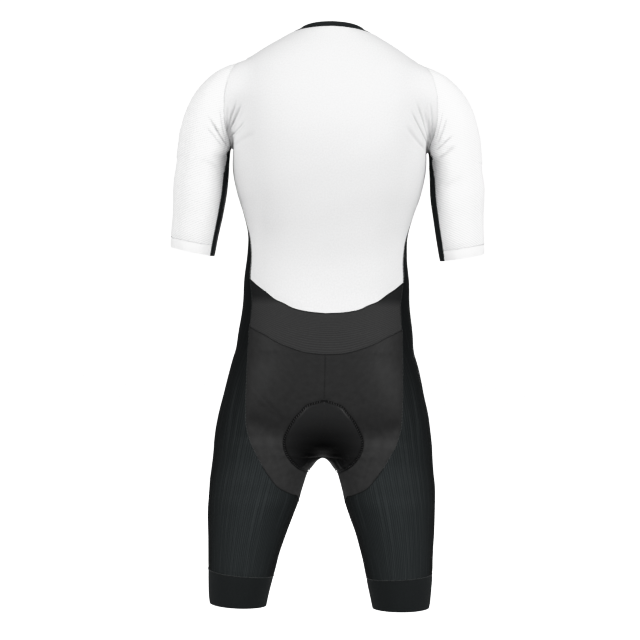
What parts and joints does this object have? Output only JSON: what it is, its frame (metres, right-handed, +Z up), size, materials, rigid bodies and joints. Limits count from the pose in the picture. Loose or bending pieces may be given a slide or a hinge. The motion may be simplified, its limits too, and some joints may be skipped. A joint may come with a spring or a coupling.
{
  "type": "triathlon suit",
  "caption": "Short-sleeved triathlon suit held open as if worn: pale knit torso and mesh sleeves, dark waist panel, ribbed thigh-length shorts with a seat pad, and a full front zip.",
  "frame": {"origin": "Middle of the neck opening, level with the points where the neckline crosses the shoulders, where the empty suit is held up.", "axes": "+Z up along the body, -Y is the front with the zip, +X is the wearer's left."},
  "size_m": [0.525, 0.2381, 0.9704],
  "materials": {
    "white_knit": "fine matt knit",
    "white_mesh": "fine slanting ribs with a slight sheen",
    "black_knit": "matt knit",
    "ribbed_black": "fine upright ribs with a slight sheen",
    "charcoal_knit": "smooth fine knit",
    "waist_knit": "matt level knit",
    "pad_fabric": "matt brushed knit over foam",
    "zip_tape_cloth": "woven tape with moulded teeth",
    "dark_metal": "satin"
  },
  "bodies": {
    "suit": {"back_panel": "white_knit", "front_left": "white_knit", "front_right": "white_knit", "sleeve_left": "white_mesh", "sleeve_right": "white_mesh", "underarm_left": "black_knit", "underarm_right": "black_knit", "cuff_left": "white_mesh", "cuff_right": "white_mesh", "neckband": "black_knit", "waist_panel": "waist_knit", "seat_left": "charcoal_knit", "seat_right": "charcoal_knit", "side_leg_left": "ribbed_black", "side_leg_right": "ribbed_black", "shorts_front_left": "ribbed_black", "shorts_front_right": "ribbed_black", "leg_band_left": "black_knit", "leg_band_right": "black_knit", "chamois_pad": "pad_fabric", "zip_tape": "zip_tape_cloth", "zip_slider": "dark_metal"},
    "pull": {"zip_pull": "dark_metal"}
  },
  "joints": [
    {"name": "pull_hinge", "type": "hinge", "parent": "suit", "child": "pull", "pos_m": [0, -0.07547, -0.06193], "axis": [-1, 0, 0], "range_deg": [0, 170]}
  ]
}
